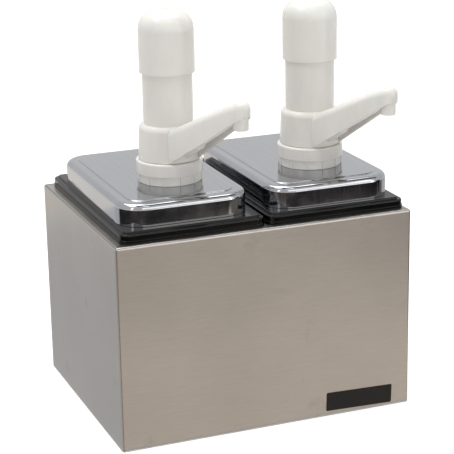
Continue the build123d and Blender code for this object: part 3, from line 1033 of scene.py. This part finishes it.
# Cards are given as name, middle, size, shade and tilt, then the turn round the upright axis
# and the strength where they have one. The low dark ones stand where the lids' skirts
# mirror the floor.
CARDS = [
    ("grey_card", (0, 0, 0.001), (5, 5), (216, 216, 217), 0),
    ("warm_card", (0, -1.4, 0.002), (5, 2.62), (245, 234, 221), 0),
    ("pale_card", (0, 1.5, 0.002), (5, 2.0), (255, 250, 243), 0),
    ("dark_card_front", (0.06, -0.552, 0.028), (0.7, 0.05), (34, 34, 36), STANDING),
    ("dark_card_turn", (0.5, -0.45, 0.03), (0.32, 0.054), (24, 24, 26), STANDING, pi / 4),
    ("dim_card_right", (0.76, -0.42, 0.003), (0.9, 0.76), (126, 119, 112), 0),
    ("dark_card_corner", (-0.41, -0.42, 0.026), (0.42, 0.048), (30, 30, 32), STANDING, -pi / 4),
    ("dark_card_left", (-0.56, -0.06, 0.03), (0.5, 0.056), (30, 30, 32), STANDING, pi / 2),
    ("dark_card_right", (0.65, -0.35, 0.1), (0.3, 0.2), (8, 8, 9), STANDING, pi / 2),
    ("grey_ceiling_card", (0.7, -0.16, 2.0), (3, 0.42), (120, 120, 123), 0),
    ("dark_ceiling_card", (0.75, -0.6, 2.0), (3, 0.45), (20, 20, 22), 0),
    ("bright_card", (0.65, -1.7, 0.9), (2.4, 0.9), (255, 252, 247), STANDING, 0, 2.2),
]

# Softboxes are given as name, place, what they face, size and power
SOFTBOXES = [
    ("overhead", (-0.2, 0.1, 2.2), (0, 0, 0.15), (2.2, 2.2), 47),
    ("left", (-2.0, -1.3, 0.9), (0, 0, 0.2), (0.35, 1.8), 3.5),
    ("right", (1.5, -2.0, 0.9), (0, 0, 0.2), (0.25, 1.8), 6.5),
    ("low", (0.9, -1.6, 0.14), (0, 0, 0.25), (1.2, 0.2), 1.3),
]


def stage_sheet(name, size, place, material):
    """One flat square or oblong of the studio."""
    bm = bmesh.new()
    bmesh.ops.create_grid(bm, x_segments=1, y_segments=1, size=0.5)
    bmesh.ops.scale(bm, vec=(*size, 1), verts=bm.verts)
    bmesh.ops.transform(bm, matrix=place, verts=bm.verts)
    new_object(name, bm, material)


def add_floor():
    """Pale floor that glows for the eye, for gloss and through clear pieces, and lights nothing."""
    finish = Finish("studio_floor", roughness=0.9)
    finish.set(
        base_color=colour(216, 216, 216),
        emission_color=colour(*WHITE),
        emission_strength=finish.seen_by("Camera", "Glossy", "Transmission") * FLOOR_GLOW,
    )
    stage_sheet("floor", (2 * FLOOR_REACH, 2 * FLOOR_REACH), Matrix(), finish.material)


def add_card(name, middle, size, shade, tilt, turn=0.0, strength=1.0):
    """Studio card that only metal and gloss mirror; it lights and shades nothing."""
    finish = Finish(name, roughness=1.0, specular_ior_level=0.0, base_color=colour(*BLACK))
    finish.set(
        emission_color=colour(*shade),
        emission_strength=strength,
        alpha=finish.seen_by("Glossy"),
    )
    turned = Matrix.Rotation(turn, 4, "Z") @ Matrix.Rotation(tilt, 4, "X")
    stage_sheet(name, size, Matrix.Translation(middle) @ turned, finish.material)


def add_world():
    """Dim fill for the object, and a pale backdrop where the eye, gloss or clear pieces see it."""
    world = bpy.data.worlds.new("studio")
    world.use_nodes = True
    scene.world = world
    work = NodeWork(world.node_tree)
    work.tree.nodes.clear()
    fill = work.node("ShaderNodeBackground", {}, {"Color": WORLD_FILL, "Strength": WORLD_POWER})
    backdrop = work.node("ShaderNodeBackground", {}, {"Color": BACKDROP, "Strength": 1.0})
    seen = work.seen_by("Camera", "Glossy", "Transmission")
    shown = work.node("ShaderNodeMixShader", {}, {0: seen, 1: fill, 2: backdrop})
    work.feed(work.tree.nodes.new("ShaderNodeOutputWorld").inputs["Surface"], shown)


def add_softbox(name, place, target, size, power):
    data = bpy.data.lights.new(name, "AREA")
    data.shape = "RECTANGLE"
    data.size, data.size_y = size
    data.energy = power
    light = bpy.data.objects.new(name, data)
    aim = (Vector(target) - Vector(place)).to_track_quat("-Z", "Y")
    light.matrix_world = Matrix.Translation(place) @ aim.to_matrix().to_4x4()
    scene.collection.objects.link(light)


def add_studio():
    scene.view_settings.view_transform = "Standard"
    add_floor()
    for card in CARDS:
        add_card(*card)
    add_world()
    for softbox in SOFTBOXES:
        add_softbox(*softbox)


# The whole part


def node_finish(name, finishes, rest):
    """Finish of a CAD node from the start of its name; the pump's other pieces take the rest."""
    return next((finish for start, finish in finishes.items() if name.startswith(start)), rest)


add_camera()
add_studio()

steel, lid_steel, jar_black, white = brushed_steel(), drawn_steel(), black_plastic(), pump_plastic()
rubber, tube, bright, film = soft_rubber(), clear_tube(), ground_steel(), label_film()

node_finishes = {
    "housing": steel,
    "lid_gasket": rubber,
    "head_o_ring": rubber,
    "foot_o_ring": rubber,
    "gland_seal": rubber,
    "inlet_ball": bright,
    "outlet_ball": bright,
    "dip_tube": tube,
}

for name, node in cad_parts.items():
    node.data.materials.clear()
    node.data.materials.append(node_finish(name, node_finishes, white))

for number in (1, 2):
    lid_sheet(number, lid_steel)
    jar_moulding(number, jar_black)
    dress_pump(number, white, bright)

bare_label(film)
